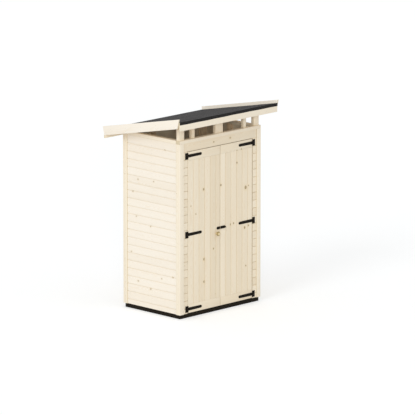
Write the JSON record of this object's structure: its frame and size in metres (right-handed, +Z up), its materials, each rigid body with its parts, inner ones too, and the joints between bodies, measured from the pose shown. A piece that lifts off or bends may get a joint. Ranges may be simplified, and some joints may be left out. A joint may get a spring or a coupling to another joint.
{
  "type": "tool shed",
  "caption": "Small timber tool shed with double doors, a sloping felt roof and an open vent gap under the roof.",
  "frame": {"origin": "on the ground at the middle of the base, under the middle joist", "axes": "+X to the right along the doors, +Y to the back wall, +Z up"},
  "size_m": [1.542, 1.164, 2.245],
  "materials": {
    "pine_cladding": "planed, clear-treated pine with knots",
    "pine_trim": "planed pine",
    "frame_timber": "sawn softwood",
    "dark_timber": "black-stained sawn timber",
    "roof_felt": "mineral bitumen felt",
    "black_iron": "black satin coating",
    "knob_wood": "turned wood, oiled"
  },
  "bodies": {
    "shed": {"base_rail_front": "dark_timber", "base_rail_back": "dark_timber", "base_rail_left": "dark_timber", "base_rail_right": "dark_timber", "base_joist": "dark_timber", "floor": "frame_timber", "corner_posts": "frame_timber", "wall_studs": "frame_timber", "left_wall": "pine_cladding", "right_wall": "pine_cladding", "back_wall": "pine_cladding", "front_boards_left": "pine_cladding", "front_boards_right": "pine_cladding", "front_header": "pine_cladding", "door_head_beam": "frame_timber", "corner_trim_front_left": "pine_trim", "corner_trim_front_right": "pine_trim", "corner_trim_back_left": "pine_trim", "corner_trim_back_right": "pine_trim", "top_rail_front": "pine_trim", "top_rail_back": "pine_trim", "top_rail_left": "pine_trim", "top_rail_right": "pine_trim", "vent_posts": "frame_timber", "roof_beam": "frame_timber", "rafters": "frame_timber", "roof_deck": "frame_timber", "roof_felt": "roof_felt", "barge_left": "pine_trim", "barge_right": "pine_trim", "fascia_front": "pine_trim", "fascia_back": "pine_trim", "hinge_plates": "black_iron"},
    "door_left": {"door_left_boards": "pine_cladding", "door_left_rails": "pine_cladding", "door_left_ledges": "frame_timber", "door_left_straps": "black_iron", "bolt_keeper": "black_iron", "door_knob": "knob_wood"},
    "door_right": {"door_right_boards": "pine_cladding", "door_right_rails": "pine_cladding", "door_right_ledges": "frame_timber", "door_right_straps": "black_iron", "bolt_plate": "black_iron"},
    "bolt": {"bolt": "black_iron"}
  },
  "joints": [
    {"name": "door_left_swing", "type": "hinge", "parent": "shed", "child": "door_left", "pos_m": [-0.501, -0.434, 0.921], "axis": [0, 0, -1], "range_deg": [0, 120]},
    {"name": "door_right_swing", "type": "hinge", "parent": "shed", "child": "door_right", "pos_m": [0.501, -0.434, 0.921], "axis": [0, 0, 1], "range_deg": [0, 120]},
    {"name": "bolt_slide", "type": "slide", "parent": "door_right", "child": "bolt", "axis": [-1, 0, 0], "range_m": [0, 0.035]}
  ]
}
